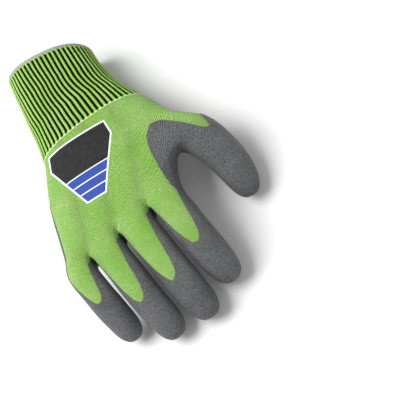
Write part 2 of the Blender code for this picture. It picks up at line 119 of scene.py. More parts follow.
# The thumb's rings from the side of the palm: offset from the root, width and thickness
THUMB_ROOT = (-0.471 * HAND_WIDTH, CUFF_LENGTH + 0.608 * PALM_LENGTH, 29 * MM)
THUMB_WIDTH = 29 * MM
THUMB_THICKNESS = 27 * MM
THUMB_RINGS = (
    ((0, 0, 0), 1.0, 1.0),
    ((-5, 12.5, -4.5), 0.914, 0.852),
    ((-7, 31.5, -11.5), 0.845, 0.759),
    ((-5.5, 44.5, -15.5), 0.741, 0.648),
    ((-4, 54, -19), 0.414, 0.370),
)
THUMB_ROLL = 35
THUMB_START = -8 * MM  # where its columns of stitches start, before its first ring

# Sections from the fingers back to the join and on to the rim: share of the length, middle
# across, half width, height in millimetres, depth to the back and to the palm, turn in degrees
PALM_SECTIONS = (
    (0.873, 0.194, 0.456, 36.5, 0.410, 0.372, 0),
    (0.734, 0.150, 0.473, 35.4, 0.449, 0.410, 0),
    (0.557, 0.099, 0.490, 34.0, 0.474, 0.474, 0),
    (0.367, 0.043, 0.500, 32.4, 0.487, 0.513, -1),
    (0.177, 0.031, 0.450, 30.9, 0.482, 0.487, -3),
    (0, 0.008, 0.383, 29.4, 0.474, 0.449, -5),
)
CUFF_SECTIONS = (
    (0.689, 0.035, 0.332, 26.4, 0.487, 0.462, -8),
    (0.344, 0.033, 0.300, 23.6, 0.545, 0.500, -13),
    (0, 0.010, 0.290, 21.0, 0.620, 0.526, -16),
)
SECTION_POWER = 2.3
CORNER_SHARE = 0.9
THUMB_ROWS = (3, 2, 1)
WRIST_HINGE_SHARE = 0.689

DIGITS = list(FINGERS) + ["thumb"]
SMOOTHNESS = 3  # times that the coarse glove is subdivided
LINER_WALL = 1.1 * MM
HAND_GIRTH = 240 * MM
THUMB_GIRTH = 78 * MM


class Section:
    """A ring of the hand or the cuff, y metres from the rim."""

    def __init__(self, y, middle, half_width, height, back, palm, turn):
        self.middle = Vector((middle * HAND_WIDTH, y, height * MM))
        self.half_width = half_width * HAND_WIDTH
        self.back = back * HAND_DEPTH
        self.palm = palm * HAND_DEPTH
        self.turn = turn

    def point(self, across, level):
        """across runs from -1 at the thumb side to 1, and level is -1 at the palm, 0 or 1."""
        share = across * (CORNER_SHARE if level else 1)
        rise = 0
        if level:
            depth = self.back if level > 0 else -self.palm
            rise = (1 - abs(share) ** SECTION_POWER) ** (1 / SECTION_POWER) * depth
        turned = Matrix.Rotation(radians(self.turn), 3, "Z") @ Vector((share, 0, 0))
        return self.middle + turned * self.half_width + Vector((0, 0, rise))


SECTIONS = [Section(CUFF_LENGTH + row[0] * PALM_LENGTH, *row[1:]) for row in PALM_SECTIONS]
SECTIONS += [Section(row[0] * CUFF_LENGTH, *row[1:]) for row in CUFF_SECTIONS]


def cuff_plane(place):
    """The middle of the cuff at a distance from the rim, and the way the cuff runs there."""
    cuff = SECTIONS[-len(CUFF_SECTIONS) - 1 :][::-1]
    for before, after in zip(cuff, cuff[1:]):
        if place <= after.middle.y:
            break
    share = (place - before.middle.y) / (after.middle.y - before.middle.y)
    turn = before.turn + (after.turn - before.turn) * share
    normal = Matrix.Rotation(radians(turn), 3, "Z") @ Vector((0, 1, 0))
    return before.middle.lerp(after.middle, share), normal


# The frame's own origin is the middle of the underside, and these sections start at the rim
ORIGIN = Vector(joints["wrist_bend"]["pos_m"]) - cuff_plane(WRIST_HINGE_SHARE * CUFF_LENGTH)[0]


class Station:
    """A place along a digit: its middle, the way it points, and its back and side directions."""

    def __init__(self, middle, along, back):
        self.middle = Vector(middle)
        self.along = Vector(along).normalized()
        self.back = (Vector(back) - Vector(back).project(self.along)).normalized()
        self.side = self.along.cross(self.back)


def finger_sides(name):
    """Where a finger's two sides lie across the hand."""
    low = KNUCKLE_EDGE
    for other, (share, *_) in FINGERS.items():
        high = low + share * HAND_WIDTH
        if other == name:
            return low, high
        low = high + FINGER_SPACE


def finger_knots(name):
    """Distances from the crotch to each hinge and to the fingertip."""
    knots = [0]
    for length in FINGERS[name][2]:
        knots.append(knots[-1] + length * MM)
    return knots


def finger_station(name, reach):
    """The station at a distance from the crotch along a finger's curved middle line."""
    knots = finger_knots(name)
    slopes = [radians(slope * FINGERS[name][3]) for slope in FINGER_SLOPES]

    def slope_at(s):
        for i in range(4):
            if s <= knots[i + 1] or i == 3:
                share = (s - knots[i]) / (knots[i + 1] - knots[i])
                return slopes[i] + (slopes[i + 1] - slopes[i]) * share

    y, z = KNUCKLE_Y, KNUCKLE_Z
    for i in range(CURVE_STEPS):
        slope = slope_at(reach * (i + 0.5) / CURVE_STEPS)
        y += cos(slope) * reach / CURVE_STEPS
        z -= sin(slope) * reach / CURVE_STEPS
    slope = slope_at(reach)
    middle = (sum(finger_sides(name)) / 2, y, z)
    return Station(middle, (0, cos(slope), -sin(slope)), (0, sin(slope), cos(slope)))


def finger_rings(name):
    """(station, half width, half thickness, reach) of each ring of a finger's cage."""
    low, high = finger_sides(name)
    half = ((high - low) / 2 * CAGE_SWELL, FINGERS[name][1] * MM / 2 * CAGE_SWELL)
    knots = finger_knots(name)
    places = [(knots[1], 1), (knots[2], 1), (knots[3], TIP_HINGE_SHARE)]
    places += [(knots[-1] + past, share) for past, share in TIP_RINGS]
    return [(finger_station(name, s), half[0] * f, half[1] * f, s) for s, f in places]


def thumb_rings():
    """The same for the thumb, whose first ring lies in the side of the palm."""
    rings = []
    reach = 0
    middles = [Vector(THUMB_ROOT) + Vector(ring[0]) * MM for ring in THUMB_RINGS]
    for i, (_, wide, thick) in enumerate(THUMB_RINGS):
        before = middles[max(i - 1, 0)]
        along = (middles[min(i + 1, len(middles) - 1)] - before).normalized()
        reach += (middles[i] - before).length if i else 0
        roll = Matrix.Rotation(radians(-THUMB_ROLL), 3, along)
        station = Station(middles[i], along, roll @ Vector((0, 0, 1)))
        half_width = wide * THUMB_WIDTH / 2 * CAGE_SWELL
        half_thickness = thick * THUMB_THICKNESS / 2 * CAGE_SWELL
        rings.append((station, half_width, half_thickness, reach))
    return rings


def knuckle_columns():
    """Where the columns of the knuckle line lie across the hand: three to a finger."""
    columns = []
    names = list(FINGERS)
    for i, name in enumerate(names):
        low, high = finger_sides(name)
        if i > 0:
            low += (WEB - FINGER_SPACE) / 2
        if i < len(names) - 1:
            high -= (WEB - FINGER_SPACE) / 2
        columns += [low, (low + high) / 2, high]
    return columns


def extruded(cage, block, edges=None):
    """The copy of a block of corners after its faces, or its edges, are extruded in place."""
    if edges is None:
        faces = [f for f in cage.faces if all(v in block.values() for v in f.verts)]
        result = bmesh.ops.extrude_face_region(cage, geom=faces)
    else:
        result = bmesh.ops.extrude_edge_only(cage, edges=edges)
    made = {tuple(v.co): v for v in result["geom"] if isinstance(v, bmesh.types.BMVert)}
    copy = {key: made[tuple(corner.co)] for key, corner in block.items()}
    if edges is None:
        bmesh.ops.delete(cage, geom=faces, context="FACES")
    return copy


def shape_ring(block, station, half_width, half_thickness, dome=0):
    """Moves a block of three by three corners onto a digit's oval section."""
    for (i, k), corner in block.items():
        a, b = i - 1, k - 1
        pull = CORNER_PULL if a and b else 1
        corner.co = (
            station.middle
            + station.side * a * pull * half_width
            + station.back * b * pull * half_thickness
        )
        if not a and not b:
            corner.co += station.along * dome


def around(i, k, last):
    """A corner's place in the ring of corners round the hand or a digit, from the palm on."""
    if k == 0:
        return i
    if k == 1:
        return last + 1 if i == last else 2 * last + 3
    return 2 * last + 2 - i


def knit_girth(digit):
    """Length of yarn course round the hand or a digit, at its widest."""
    if digit == 0:
        return HAND_GIRTH
    if DIGITS[digit - 1] == "thumb":
        return THUMB_GIRTH
    low, high = finger_sides(DIGITS[digit - 1])
    return round((high - low) * 3 / MM) * MM


cage = bmesh.new()
level_layer = cage.verts.layers.float.new("level")
reach_layer = cage.verts.layers.float.new("reach")
columns = knuckle_columns()
last_column = len(columns) - 1
bmesh.ops.create_grid(cage, x_segments=last_column, y_segments=2, size=1)
order = sorted(cage.verts, key=lambda v: (round(v.co.x, 4), round(v.co.y, 4)))
grid = {(n // 3, n % 3): corner for n, corner in enumerate(order)}
address = {}  # of each corner: its digit, or 0 for the hand, then its ring, column and level
for (i, k), corner in grid.items():
    share = VALLEY_SHARE if i % 3 != 1 else 1
    x = columns[i]
    if i in (0, last_column) and k != 1:
        share = EDGE_SHARE
        x += EDGE_INSET if i == 0 else -EDGE_INSET
    rise = (-KNUCKLE_PALM, 0, KNUCKLE_BACK)[k] * share
    corner.co = (x, KNUCKLE_Y, KNUCKLE_Z + rise)
    address[corner] = (0, 0, i, k)
bmesh.ops.recalc_face_normals(cage, faces=cage.faces)
if sum(f.normal.y for f in cage.faces) < 0:
    bmesh.ops.reverse_faces(cage, faces=cage.faces)

rows = [{key: v for key, v in grid.items() if key[0] in (0, last_column) or key[1] != 1}]
for n, section in enumerate(SECTIONS):
    corners = set(rows[-1].values())
    open_edges = [e for e in cage.edges if len(e.link_faces) == 1 and set(e.verts) <= corners]
    row = extruded(cage, rows[-1], open_edges)
    for (i, k), corner in row.items():
        across = (columns[i] - columns[0]) / (columns[-1] - columns[0]) * 2 - 1
        corner.co = section.point(across, k - 1)
        address[corner] = (0, -n - 1, i, k)
    rows.append(row)

for digit, name in enumerate(DIGITS, 1):
    if name == "thumb":
        block = {(i, k): rows[THUMB_ROWS[i] + 1][0, k] for i in range(3) for k in range(3)}
        rings = thumb_rings()
    else:
        block = {(i, k): grid[3 * (digit - 1) + i, k] for i in range(3) for k in range(3)}
        rings = finger_rings(name)
    for n, (station, half_width, half_thickness, reach) in enumerate(rings, 1):
        block = extruded(cage, block)
        dome = TIP_DOME if n == len(rings) else 0
        shape_ring(block, station, half_width, half_thickness, dome)
        for (i, k), corner in block.items():
            address[corner] = (digit, n, i, k)
            corner[reach_layer] = reach

bmesh.ops.recalc_face_normals(cage, faces=cage.faces)
course = cage.loops.layers.uv.new("knit")
for corner in cage.verts:
    corner[level_layer] = address[corner][3] - 1
for face in cage.faces:
    digit = max(address[corner][0] for corner in face.verts)
    face.material_index = digit
    last = 2 if digit else last_column
    girth = knit_girth(digit)
    places = []
    for loop in face.loops:
        own, ring, i, k = address[loop.vert]
        if digit and not own:
            # A corner of the hand that a digit grows from: its column within the digit
            if DIGITS[digit - 1] == "thumb":
                i = THUMB_ROWS.index(-ring - 1)
            else:
                i -= 3 * (digit - 1)
        places.append(around(i, k, last))
    full = 2 * last + 4
    if max(places) - min(places) > full / 2:
        places = [place + full if place < full / 2 else place for place in places]
    cap = len(set(places)) < 4 and max(places) - min(places) > 2
    for loop, place in zip(face.loops, places):
        corner = loop.vert
        length = corner[reach_layer] if digit else corner.co.y
        if digit and DIGITS[digit - 1] == "thumb" and not address[corner][0]:
            length = THUMB_START
        loop[course].uv = (place / full * girth, length)
        if cap:
            loop[course].uv = (corner.co.x, corner.co.z)

mesh = bpy.data.meshes.new("glove_form")
cage.to_mesh(mesh)
cage.free()
for _ in range(len(DIGITS) + 1):
    mesh.materials.append(None)
form = bpy.data.objects.new("glove_form", mesh)
bpy.context.scene.collection.objects.link(form)
smooth = form.modifiers.new("smooth", "SUBSURF")
smooth.levels = smooth.render_levels = SMOOTHNESS
surface = bmesh.new()
graph = bpy.context.evaluated_depsgraph_get()
surface.from_mesh(form.evaluated_get(graph).to_mesh())
bpy.data.objects.remove(form, do_unlink=True)
level_layer = surface.verts.layers.float["level"]
reach_layer = surface.verts.layers.float["reach"]
course = surface.loops.layers.uv["knit"]

# Worn fabric is never quite even, sinks between the knuckles, and keeps shallow folds on the
# palm side of each joint
UNEVEN_DEPTH = 0.35 * MM
UNEVEN_LENGTH = 17 * MM
VALLEY_DEPTH = 2.2 * MM
VALLEY_LENGTH = 24 * MM
VALLEY_WIDTH = 4.5 * MM
FOLD_DEPTH = 0.8 * MM
FOLD_WIDTH = 1.6 * MM
FOLD_SPACE = 2.2 * MM
SMALLER_FOLD = 0.7
surface.normal_update()
for corner in surface.verts:
    rise = noise.noise(corner.co / UNEVEN_LENGTH) * UNEVEN_DEPTH
    corner.co += corner.normal * rise
for name in list(FINGERS)[1:]:
    crotch = finger_sides(name)[0] - FINGER_SPACE / 2
    for corner in surface.verts:
        back = KNUCKLE_Y - corner.co.y
        if 0 < back < VALLEY_LENGTH and corner[level_layer] > 0 and corner[reach_layer] <= 0:
            share = back / VALLEY_LENGTH
            apart = (corner.co.x - crotch) / (VALLEY_WIDTH * (1 + share))
            depth = (1 - share) ** 1.5 * corner[level_layer]
            corner.co.z -= VALLEY_DEPTH * depth * 0.5 ** (2 * apart * apart)
# The cuff is pressed a little flat where the glove rests on it
REST_GAP = -0.05 * MM  # before the hem's thread is wrapped round the rim
REST_SOFT = 2.0 * MM
for corner in surface.verts:
    sunk = REST_GAP + REST_SOFT - ORIGIN.z - corner.co.z
    if sunk > 0:
        corner.co.z += sunk - REST_SOFT * (1 - 0.5 ** (sunk / REST_SOFT))
for digit, name in enumerate(FINGERS, 1):
    own = {corner for face in surface.faces if face.material_index == digit for corner in face.verts}
    for corner in own:
        for hinge in finger_knots(name)[1:4]:
            for side in (-1, 0, 1):
                apart = (corner[reach_layer] - hinge - side * FOLD_SPACE) / FOLD_WIDTH
                share = max(0, -corner[level_layer]) * (1 if side else SMALLER_FOLD)
                corner.co -= corner.normal * FOLD_DEPTH * share * 0.5 ** (4 * apart * apart)


def cut(faces, point, way):
    """Cuts these faces of the form along a plane and keeps both sides."""
    geom = set(faces)
    for face in faces:
        geom.update(face.edges)
        geom.update(face.verts)
    bmesh.ops.bisect_plane(surface, geom=list(geom), dist=1e-7, plane_co=point, plane_no=way)


def digit_faces(digit):
    """The faces of a digit, or of the hand and the cuff for 0."""
    return [face for face in surface.faces if face.material_index == digit]


# Each digit is divided halfway between its hinges, where it stays straight when it bends
HINGE_NAMES = {name: ("knuckle", "middle", "tip") for name in FINGERS} | {"thumb": ("base", "tip")}
BODY_NAMES = {name: ("base", "middle", "tip") for name in FINGERS} | {"thumb": ("base", "tip")}
BEND_REACH = 7.5 * MM  # how far a bend spreads to each side of its hinge
ROOT_SPARE = 0.5 * MM
CROTCH_SEAM = 2.5 * MM
seams = {}
for digit, name in enumerate(DIGITS, 1):
    if name == "thumb":
        base, tip = thumb_rings()[1][0], thumb_rings()[2][0]
        root_seam = base.middle - base.along * (BEND_REACH + ROOT_SPARE)
        between = (tip.middle - base.middle).normalized()
        seams[digit] = [(root_seam, base.along), ((base.middle + tip.middle) / 2, between)]
    else:
        knots = finger_knots(name)
        reaches = [CROTCH_SEAM, (knots[1] + knots[2]) / 2, (knots[2] + knots[3]) / 2]
        stations = [finger_station(name, reach) for reach in reaches]
        seams[digit] = [(station.middle, station.along) for station in stations]
    for point, way in seams[digit]:
        cut(digit_faces(digit), point, way)
cut(digit_faces(0), *cuff_plane(CUFF_LENGTH))

surface.normal_update()
surface.faces.index_update()
outwards = surface.verts.layers.float_vector.new("outwards")
for corner in surface.verts:
    corner[outwards] = corner.normal


def seam_count(face, digit):
    """How many of its digit's seams a face lies past."""
    middle = face.calc_center_median()
    return sum((middle - point).dot(way) > 0 for point, way in seams[digit])


def length_faces(digit, number):
    """The faces of a digit past so many of its seams."""
    return [face for face in digit_faces(digit) if seam_count(face, digit) == number]


def hand_faces():
    """The hand from the join on, with the stubs of its digits."""
    point, way = cuff_plane(CUFF_LENGTH)
    own = [face for face in digit_faces(0) if (face.calc_center_median() - point).dot(way) > 0]
    for digit in seams:
        own += length_faces(digit, 0)
    return own


def part_of_form(faces):
    """A copy of the form with only these faces."""
    wanted = {face.index for face in faces}
    part = surface.copy()
    dropped = [face for face in part.faces if face.index not in wanted]
    bmesh.ops.delete(part, geom=dropped, context="FACES")
    return part


def fabric(name, part, low, high, material, smooth_as_form=True):
    """A shell of fabric over a part of the form, from low to high over its surface.

    It is shaded as the whole form is, so that neighbouring shells run on into each other with
    no line between them.
    """
    away = part.verts.layers.float_vector["outwards"]
    under = part.faces[:]
    grown = bmesh.ops.extrude_face_region(part, geom=under, use_keep_orig=True)["geom"]
    bmesh.ops.reverse_faces(part, faces=under)
    lifted = {item for item in grown if isinstance(item, bmesh.types.BMVert)}
    outer = {item for item in grown if isinstance(item, bmesh.types.BMFace)}
    for corner in part.verts:
        corner.co += corner[away].normalized() * (high if corner in lifted else low)
    part.normal_update()
    under = set(under)
    shading = []
    for face in part.faces:
        face.material_index = 0
        face.smooth = True
        for loop in face.loops:
            if face in outer:
                shading.append(loop.vert[away].normalized())
            elif face in under:
                shading.append(-loop.vert[away].normalized())
            else:
                shading.append(face.normal)
    mesh = bpy.data.meshes.new(name)
    part.to_mesh(mesh)
    part.free()
    for spare in ("level", "reach", "outwards", "dip", "place"):
        if spare in mesh.attributes:
            mesh.attributes.remove(mesh.attributes[spare])
    if smooth_as_form:
        mesh.normals_split_custom_set(shading)
    mesh.materials.append(material)
    mesh.transform(Matrix.Translation(ORIGIN))
    piece = bpy.data.objects.new(name, mesh)
    bpy.context.scene.collection.objects.link(piece)
    return piece


def bend_with(piece, name, number):
    """Lets a length of a digit bend at its hinge, between the body before it and its own."""
    hinge = joints[f"{name}_{HINGE_NAMES[name][number]}_bend"]
    if name == "thumb":
        way = thumb_rings()[number + 1][0].along
    else:
        way = finger_station(name, finger_knots(name)[number + 1]).along
    pivot = Vector(hinge["pos_m"])
    start, end = pivot - way * BEND_REACH, pivot + way * BEND_REACH
    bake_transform(piece, hinge["parent"], hinge["child"], start=start, end=end)


def add(tree, kind, values=(), **settings):
    """A node with its settings and inputs, where an input is a value or another's output."""
    made = tree.nodes.new(kind)
    for name, value in settings.items():
        setattr(made, name, value)
    for key, value in dict(values).items():
        if isinstance(value, bpy.types.NodeSocket):
            tree.links.new(value, made.inputs[key])
        else:
            made.inputs[key].default_value = value
    return made


def maths(tree, operation, *values):
    """The output of one step of arithmetic."""
    return add(tree, "ShaderNodeMath", dict(enumerate(values)), operation=operation).outputs[0]


def mixed(tree, share, first, second):
    """A colour between two others."""
    values = {"Factor": share, 6: first, 7: second}
    return add(tree, "ShaderNodeMix", values, data_type="RGBA").outputs[2]


def noisy(tree, scale, detail=2):
    """Fine unevenness from the place on the piece."""
    place = add(tree, "ShaderNodeTexCoord").outputs["Object"]
    values = {"Vector": place, "Scale": scale, "Detail": detail}
    return add(tree, "ShaderNodeTexNoise", values).outputs["Fac"]


def patchy_share(tree):
    """Soft patches, where the yarn is lighter or deeper."""
    return maths(tree, "MULTIPLY_ADD", noisy(tree, 55), 1.6, -0.3)


def along_and_across(tree):
    """The knitting's own coordinates in metres: across its columns and along them."""
    place = add(tree, "ShaderNodeUVMap", uv_map="knit").outputs[0]
    split = add(tree, "ShaderNodeSeparateXYZ", {0: place})
    return split.outputs[0], split.outputs[1]


def stitches(tree, width, height):
    """Height of plain knitting: each column is two strands that lean towards each other."""
    across, along = along_and_across(tree)
    column = maths(tree, "FRACT", maths(tree, "DIVIDE", across, width))
    aside = maths(tree, "ABSOLUTE", maths(tree, "SUBTRACT", column, 0.5))
    strand = maths(tree, "SINE", maths(tree, "MULTIPLY", aside, 2 * pi))
    lean = maths(tree, "MULTIPLY_ADD", aside, 1.6, maths(tree, "DIVIDE", along, height))
    wave = maths(tree, "SINE", maths(tree, "MULTIPLY", lean, 2 * pi))
    loops = maths(tree, "MULTIPLY_ADD", wave, 0.32, 0.68)
    return maths(tree, "MULTIPLY", strand, loops)


def finish_material(name, color, height, bump, roughness, more=()):
    """A material from a colour socket, a height socket and the bump's depth in metres."""
    material = bpy.data.materials[name]
    tree = material.node_tree
    shader = tree.nodes["Principled BSDF"]
    normal = add(tree, "ShaderNodeBump", {"Height": height, "Distance": bump, "Strength": 1})
    tree.links.new(normal.outputs[0], shader.inputs["Normal"])
    tree.links.new(color, shader.inputs["Base Color"])
    if isinstance(roughness, bpy.types.NodeSocket):
        tree.links.new(roughness, shader.inputs["Roughness"])
    else:
        shader.inputs["Roughness"].default_value = roughness
    for key, value in dict(more).items():
        shader.inputs[key].default_value = value
    return material


def material_tree(name):
    """The node tree of a new material."""
    material = bpy.data.materials.new(name)
    material.use_nodes = True
    return material.node_tree


STITCH_WIDTH = 1.5 * MM
STITCH_HEIGHT = 1.2 * MM
# The darkest lime is both the colour of dark fibre flecks and painted shade in the hollows between stitches.
LIME_FLECK_AND_SHADE = (0.14, 0.4, 0.025, 1)
LIME = (0.35, 0.7, 0.085, 1)
LIME_PALE = (0.62, 0.86, 0.29, 1)
FUZZ = {"Sheen Weight": 0.25, "Sheen Roughness": 0.5, "Specular IOR Level": 0.25}
tree = material_tree("lime knit")
knit_height = stitches(tree, STITCH_WIDTH, STITCH_HEIGHT)
lime = mixed(tree, patchy_share(tree), LIME, LIME_PALE)
# Where the stitches sink, the colour darkens towards the darkest lime. This is painted shade in the hollows
# between strands and loops, with random fibre flecks over it.
stitch_hollow_shade = maths(tree, "MULTIPLY_ADD", knit_height, 2.4, -1.8)
fleck_and_hollow_shade = maths(tree, "MULTIPLY_ADD", noisy(tree, 950), 2.6, stitch_hollow_shade)
knit_color = mixed(tree, fleck_and_hollow_shade, LIME_FLECK_AND_SHADE, lime)
knit_material = finish_material("lime knit", knit_color, knit_height, 0.6 * MM, 0.85, FUZZ)

hand = fabric("hand_knit", part_of_form(hand_faces()), -LINER_WALL, 0, knit_material)
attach(hand, "hand")
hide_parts("hand_liner")
for digit, name in enumerate(DIGITS, 1):
    for number, length in enumerate(BODY_NAMES[name]):
        part = part_of_form(length_faces(digit, number + 1))
        sleeve = fabric(f"{name}_{length}_knit", part, -LINER_WALL, 0, knit_material)
        bend_with(sleeve, name, number)
        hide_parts(f"{name}_{length}_liner")

# ---------------------------------------------------------------- dipped coating
# The palm, the sides of the fingers and the fingertips are dipped in a thin grey foamed rubber,
# which sinks into the knit and leaves its grain showing. On the back it stops at a line round
# the thumb's web and at a tongue of bare knit on each finger.

COATING_LOW = 0.04 * MM
COATING_HIGH = 0.4 * MM
# Each tongue's half width round the finger and length from the crotch in millimetres, and how
# far it sits round towards the little finger's side in degrees
TONGUES = {
    "index": (8.6, 36, 8), "middle": (9.2, 45, 16), "ring": (8.6, 42, 16), "little": (6.8, 25, 12),
}
TONGUE_ROUND = 2.3
TONGUE_TAPER = 3.4
CROTCH_FLARE = 0.45  # share that a tongue is wider by at the crotch
CROTCH_BLEND = 4 * MM
SIDE_LEVEL = -0.15  # where the dip line runs on the side of the hand, by the liner's level
# It climbs by a share of the level, from one distance past the join to the other, on this side
LITTLE_SIDE = 30 * MM
LITTLE_CLIMB = (5 * MM, 50 * MM, 0.95)
LEVEL_DEPTH = 18 * MM
# Between the fingers it rises to this level, this far before the knuckles
WEB_LEVEL = 0.45
WEB_REACH = 6 * MM
OUTER_SIDE = 4 * MM
RAGGED = 0.35 * MM
RAGGED_LENGTH = 2.8 * MM
# Outline of the coated web of the thumb over the back of the hand, in millimetres from the
# middle of the join
WEB_OUTLINE = (
    (-19, 89), (-19.8, 67.7), (-22.2, 50), (-26, 40.5), (-31.9, 34.7), (-37.5, 35),
    (-42.5, 38.8), (-49, 46.5), (-54, 53.5), (-58, 58), (-61, 57), (-61, 50),
    (-59, 40), (-90, 31), (-90, 169), (-19, 169),
)


def within(point, outline):
    """How far a point lies inside an outline, or less than 0 outside it."""
    nearest = 1
    inside = False
    for start, end in zip(outline, outline[1:] + outline[:1]):
        edge = end - start
        share = min(1, max(0, (point - start).dot(edge) / edge.length_squared))
        nearest = min(nearest, (start + edge * share - point).length)
        if (start.y > point.y) != (end.y > point.y):
            crossing = start.x + edge.x * (point.y - start.y) / edge.y
            inside = inside != (point.x < crossing)
    return nearest if inside else -nearest


def eased(low, high, value):
    """0 up to the low value and 1 from the high one, with a soft start and end between them."""
    share = min(1, max(0, (value - low) / (high - low)))
    return share * share * (3 - 2 * share)


web_outline = [Vector(point) * MM + Vector((0, CUFF_LENGTH)) for point in WEB_OUTLINE]


def hand_dip(corner):
    """Depth past the dip line on the hand and the thumb: more than 0 where it is coated."""
    place = corner.co
    level = corner[level_layer]
    line = SIDE_LEVEL
    if place.x > LITTLE_SIDE:
        low, high, climb = LITTLE_CLIMB
        line += climb * eased(low, high, place.y - CUFF_LENGTH)
    first, last = finger_sides("index")[0], finger_sides("little")[1]
    among_fingers = first + OUTER_SIDE < place.x < last - OUTER_SIDE
    if among_fingers and place.y > KNUCKLE_Y - WEB_REACH:
        line = WEB_LEVEL
    depth = (line - level) * LEVEL_DEPTH
    return max(depth, within(place.xy, web_outline))


def finger_dip(corner, name):
    """The same on a finger: how far a corner lies outside its tongue."""
    reach = corner[reach_layer]
    station = finger_station(name, reach)
    low, high = finger_sides(name)
    from_middle = corner.co - station.middle
    angle = atan2(from_middle.dot(station.side), from_middle.dot(station.back))
    half_width, length, turn = TONGUES[name]
    half_width, length = half_width * MM, length * MM
    aside = (angle - radians(turn)) * (high - low) / 2
    half_width *= 1 + CROTCH_FLARE * max(0, 1 - max(0, reach) / length) ** 2
    outside = abs(aside / half_width) ** TONGUE_ROUND + (max(0, reach) / length) ** TONGUE_TAPER
    return (outside - 1) * half_width / TONGUE_ROUND


dip = surface.verts.layers.float.new("dip")
for corner in surface.verts:
    digit = max(face.material_index for face in corner.link_faces)
    depth = hand_dip(corner)
    if digit and digit <= len(FINGERS):
        share = eased(0, CROTCH_BLEND, corner[reach_layer])
        depth += (finger_dip(corner, DIGITS[digit - 1]) - depth) * share
    depth += noise.noise(corner.co / RAGGED_LENGTH) * RAGGED
    corner[dip] = depth


def cut_at_line(part):
    """Keeps what lies past the dip line."""
    place = part.verts.layers.float_vector.new("place")
    depth = part.verts.layers.float["dip"]
    # The line is level in height once each corner's height is its depth past the line
    for corner in part.verts:
        corner[place] = corner.co
        corner.co.z = corner[depth]
    geom = part.verts[:] + part.edges[:] + part.faces[:]
    bmesh.ops.bisect_plane(
        part, geom=geom, dist=1e-7, plane_co=(0, 0, 0), plane_no=(0, 0, -1), clear_outer=True
    )
    for corner in part.verts:
        corner.co = corner[place]


def coated_part(faces):
    """The part of these faces that lies past the dip line, cut along the line."""
    part = part_of_form(faces)
    cut_at_line(part)
    return part


# The darkest grey is both painted shade in the coating's hollows and the colour of random dark flecks.
GREY_FLECK_AND_SHADE = (0.03, 0.031, 0.032, 1)
GREY = (0.13, 0.134, 0.132, 1)
GREY_PALE = (0.26, 0.26, 0.275, 1)
tree = material_tree("grey coating")
grain = maths(tree, "MULTIPLY", stitches(tree, STITCH_WIDTH, STITCH_HEIGHT), 0.55)
sandy = noisy(tree, 900)
coat_height = maths(tree, "MULTIPLY_ADD", sandy, 0.75, grain)
smoky = mixed(tree, maths(tree, "MULTIPLY_ADD", noisy(tree, 40), 1.4, -0.3), GREY, GREY_PALE)
# The grey darkens where the knit's grain and the sandy noise sink. This is painted shade in the coating's
# hollows, partly random sandy flecks, while the raised grain keeps the lighter grey.
coat_color = mixed(tree, maths(tree, "MULTIPLY_ADD", coat_height, 4.0, -1.8), GREY_FLECK_AND_SHADE, smoky)
coat_rough = maths(tree, "MULTIPLY_ADD", noisy(tree, 90), 0.25, 0.3)
coating_material = finish_material("grey coating", coat_color, coat_height, 0.6 * MM, coat_rough)

palm = fabric("palm_dip", coated_part(hand_faces()), COATING_LOW, COATING_HIGH, coating_material)
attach(palm, "hand")
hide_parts("palm_coating")
for digit, name in enumerate(DIGITS, 1):
    for number, length in enumerate(BODY_NAMES[name]):
        part = coated_part(length_faces(digit, number + 1))
        skin = fabric(f"{name}_{length}_dip", part, COATING_LOW, COATING_HIGH, coating_material)
        bend_with(skin, name, number)
        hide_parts(f"{name}_{length}_coating")

# ---------------------------------------------------------------- ribbed cuff
# The cuff is knitted on from the hand in rib stitch, with black elastic between the lime ribs,
# so that it grips the wrist. It is one sleeve, and bends where the wrist does.

RIB_COUNT = 52
RIB_PITCH = 3.6 * MM
RIB_SHARE = 0.45  # of the pitch that is lime
RIB_MIDDLE = 0.29
# Places across a rib and its elastic as shares of the pitch, with how far each stands out
RIB_PROFILE = (
    (0.02, 0), (0.08, 0.65), (0.18, 0.92), (0.29, 1),
    (0.4, 0.92), (0.5, 0.65), (0.56, 0), (0.8, -0.5),
)
RIB_HEIGHT = 0.6 * MM
RIB_WAVER = 1.0 * MM
WAVER_LENGTH = 24 * MM
WAVER_FADE = 12 * MM
WAVER_RADIUS = 30 * MM
RIB_RUN_OUT = (-1 * MM, 3 * MM)  # distances before the join between which the ribs flatten
JOIN_WIDTH = 1.6 * MM
RING_STEP = 1.2 * MM
OUTLINE_POINTS = 240
HEM_WIDTH = 3.2 * MM
HEM_LAP = 0.6  # share of the hem's width from the rim to the first row of the ribs
WRIST_BEND = (53.3 * MM, 36.3 * MM)  # from the rim: where the bend starts and ends

whole_form = BVHTree.FromBMesh(surface)


def cuff_outline(place):
    """Points round the glove at a distance from the rim, from the middle of the palm."""
    middle, normal = cuff_plane(place)
    side = normal.cross(Vector((0, 0, 1))).normalized()
    points = []
    for k in range(OUTLINE_POINTS):
        turn = 2 * pi * k / OUTLINE_POINTS
        way = side * sin(turn) - Vector((0, 0, 1)) * cos(turn)
        points.append(whole_form.ray_cast(middle, way)[0])
    return points


def even_ring(points, shares):
    """Points at shares of the way round a closed outline, with the way it runs at each."""
    lengths = [0]
    for before, after in zip(points, points[1:] + points[:1]):
        lengths.append(lengths[-1] + (after - before).length)
    ring = []
    k = 0
    for share in shares:
        wanted = share % 1 * lengths[-1]
        while lengths[k] > wanted:
            k = 0
        while lengths[k + 1] < wanted:
            k += 1
        before, after = points[k], points[(k + 1) % len(points)]
        between = (wanted - lengths[k]) / (lengths[k + 1] - lengths[k])
        ring.append((before.lerp(after, between), (after - before).normalized()))
    return ring


